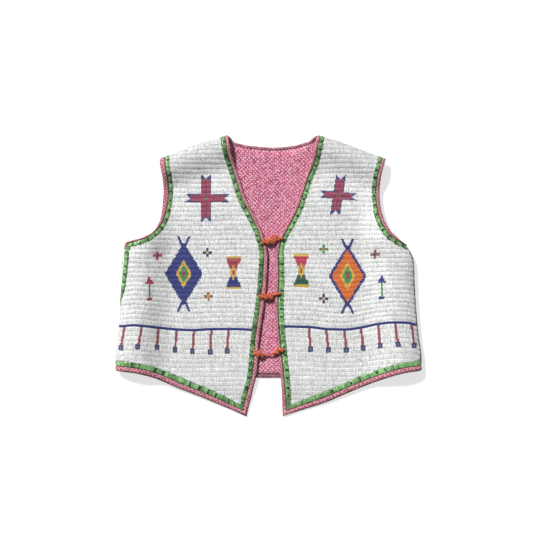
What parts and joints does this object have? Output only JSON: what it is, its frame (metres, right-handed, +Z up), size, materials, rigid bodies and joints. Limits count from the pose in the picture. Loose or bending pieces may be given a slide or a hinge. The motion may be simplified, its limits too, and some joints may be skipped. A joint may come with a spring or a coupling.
{
  "type": "beaded vest",
  "caption": "Sleeveless vest covered in lanes of white seed beads, with green bead borders, calico binding and lining, and tied fronts, laid flat.",
  "frame": {"origin": "middle of the vest's outline, on the surface it lies on", "axes": "+Y towards the neck, +X towards the wearer's left, +Z up out of the fronts"},
  "size_m": [0.5391, 0.4961, 0.0275],
  "materials": {
    "white_beads": "opaque white glass seed beads in lanes on hide",
    "green_beads": "green glass seed beads with dark bars",
    "calico": "printed cotton, matt",
    "tie": "twisted orange cord, matt"
  },
  "bodies": {
    "root": {"front_right": "white_beads", "front_left": "white_beads", "back": "white_beads", "back_lining": "calico", "edge_lane_right": "green_beads", "hem_lane_right": "green_beads", "side_lane_right": "green_beads", "armhole_lane_right": "green_beads", "edge_lane_left": "green_beads", "hem_lane_left": "green_beads", "side_lane_left": "green_beads", "armhole_lane_left": "green_beads", "edge_binding_right": "calico", "edge_binding_left": "calico", "armhole_binding_right": "calico", "armhole_binding_left": "calico", "hem_binding_back": "calico", "neck_binding_back": "calico", "armhole_binding_back_right": "calico", "armhole_binding_back_left": "calico", "tie_top": "tie", "tie_middle": "tie", "tie_bottom": "tie"}
  },
  "joints": []
}
